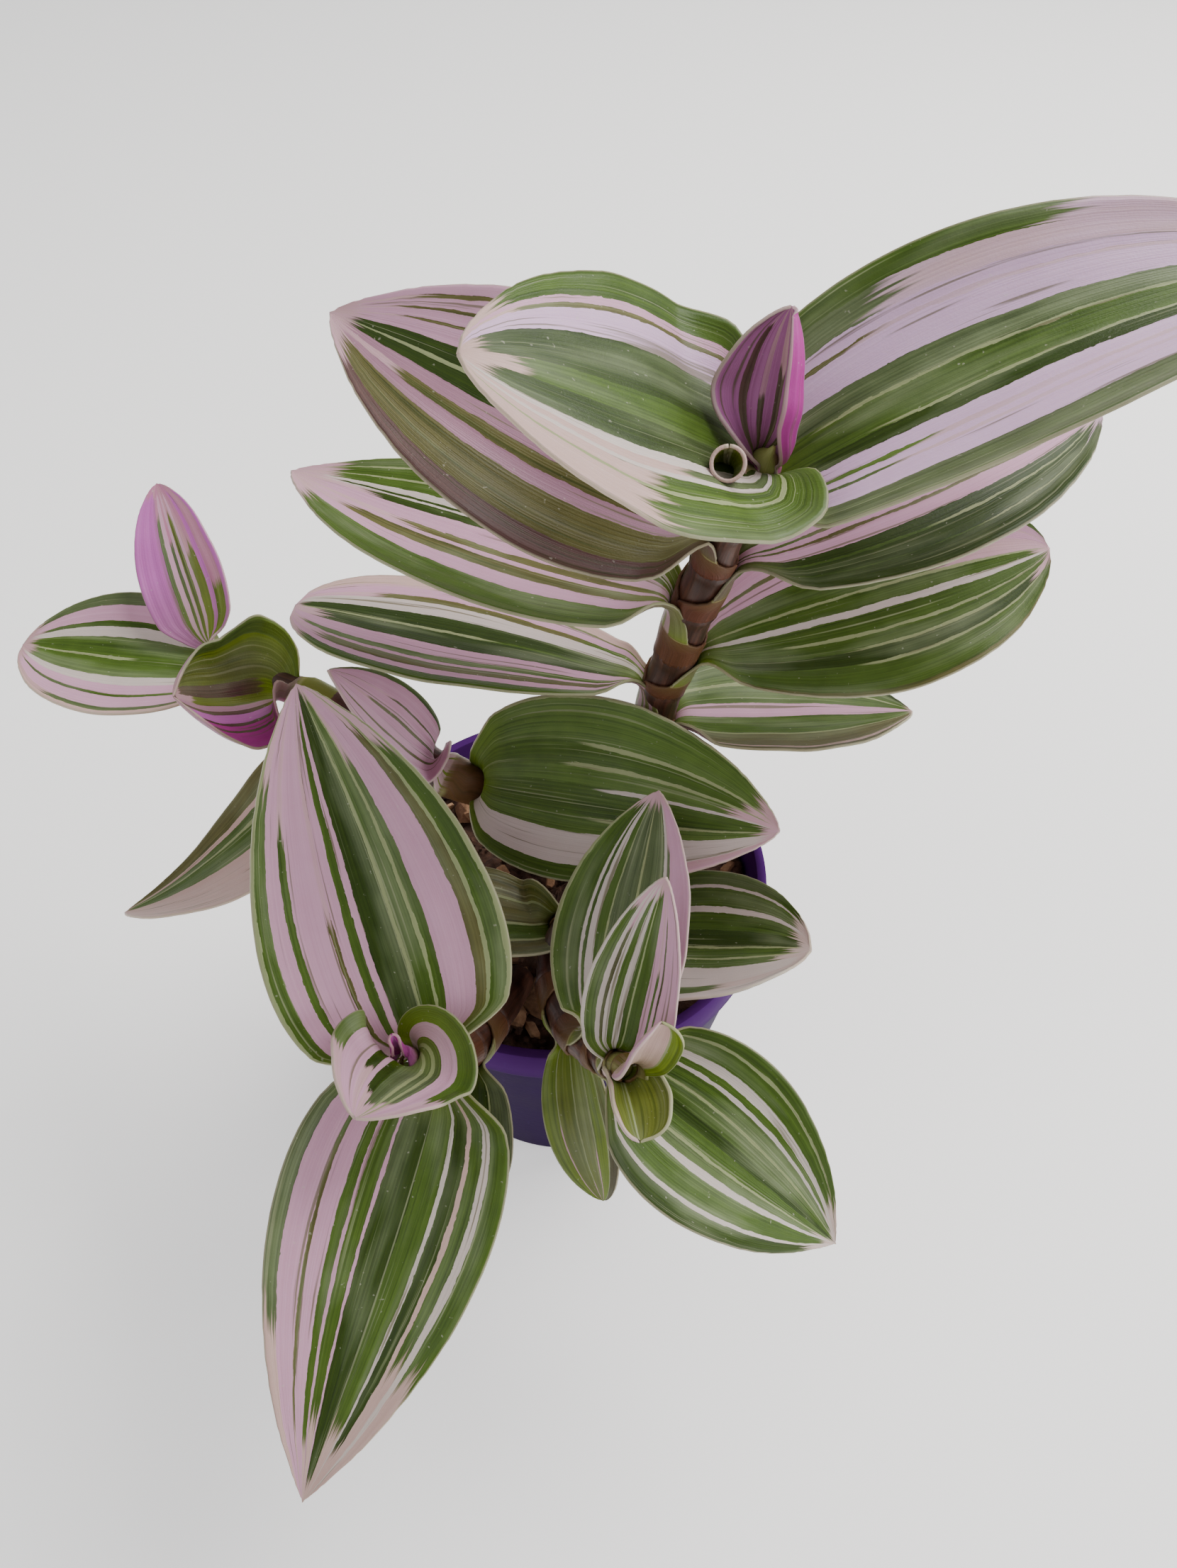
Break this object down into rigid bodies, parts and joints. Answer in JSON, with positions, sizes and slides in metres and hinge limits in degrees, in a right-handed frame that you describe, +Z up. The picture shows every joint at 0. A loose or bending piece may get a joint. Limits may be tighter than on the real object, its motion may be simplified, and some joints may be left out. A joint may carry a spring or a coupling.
{
  "type": "potted tradescantia",
  "caption": "House plant with pointed, boat-shaped leaves striped green, white and pink on jointed stems, leaning out of a small round plastic nursery pot filled with soil.",
  "frame": {"origin": "centre of the pot's flat underside", "axes": "+Z up, -Y towards the front, +X to the right"},
  "size_m": [0.2207, 0.1763, 0.2115],
  "materials": {
    "pot_plastic": "semi-gloss violet",
    "potting_soil": "moist peat with bark chips",
    "stem": "smooth purple-brown",
    "leaf": "satin, striped green, white and pink",
    "young_leaf": "satin, pink with olive stripes"
  },
  "bodies": {
    "root": {"pot": "pot_plastic", "soil": "potting_soil", "stem_main": "stem", "stem_left": "stem", "stem_front_left": "stem", "stem_front_right": "stem", "leaf_main_1_right": "leaf", "leaf_main_2_left": "leaf", "leaf_main_3_right": "leaf", "leaf_main_4_left": "leaf", "leaf_main_5_right": "leaf", "leaf_main_6_left": "leaf", "leaf_main_7_right": "leaf", "leaf_main_8_left": "leaf", "young_main_folded": "young_leaf", "young_main_rolled": "young_leaf", "leaf_left_1_right": "leaf", "leaf_left_2_back": "leaf", "leaf_left_3_front": "leaf", "leaf_left_4_cupped": "leaf", "leaf_left_5_left": "leaf", "young_left_upright": "young_leaf", "leaf_front_left_1_under": "leaf", "leaf_front_left_2_down": "leaf", "leaf_front_left_3_up": "leaf", "young_front_left_curled": "young_leaf", "young_front_left_bud": "young_leaf", "leaf_front_right_1_left": "leaf", "leaf_front_right_2_right": "leaf", "leaf_front_right_3_hanging": "leaf", "leaf_front_right_4_up": "leaf", "leaf_front_right_5_down": "leaf", "leaf_front_right_6_up": "leaf", "young_front_right_spoon": "young_leaf", "young_front_right_hook": "young_leaf"}
  },
  "joints": []
}
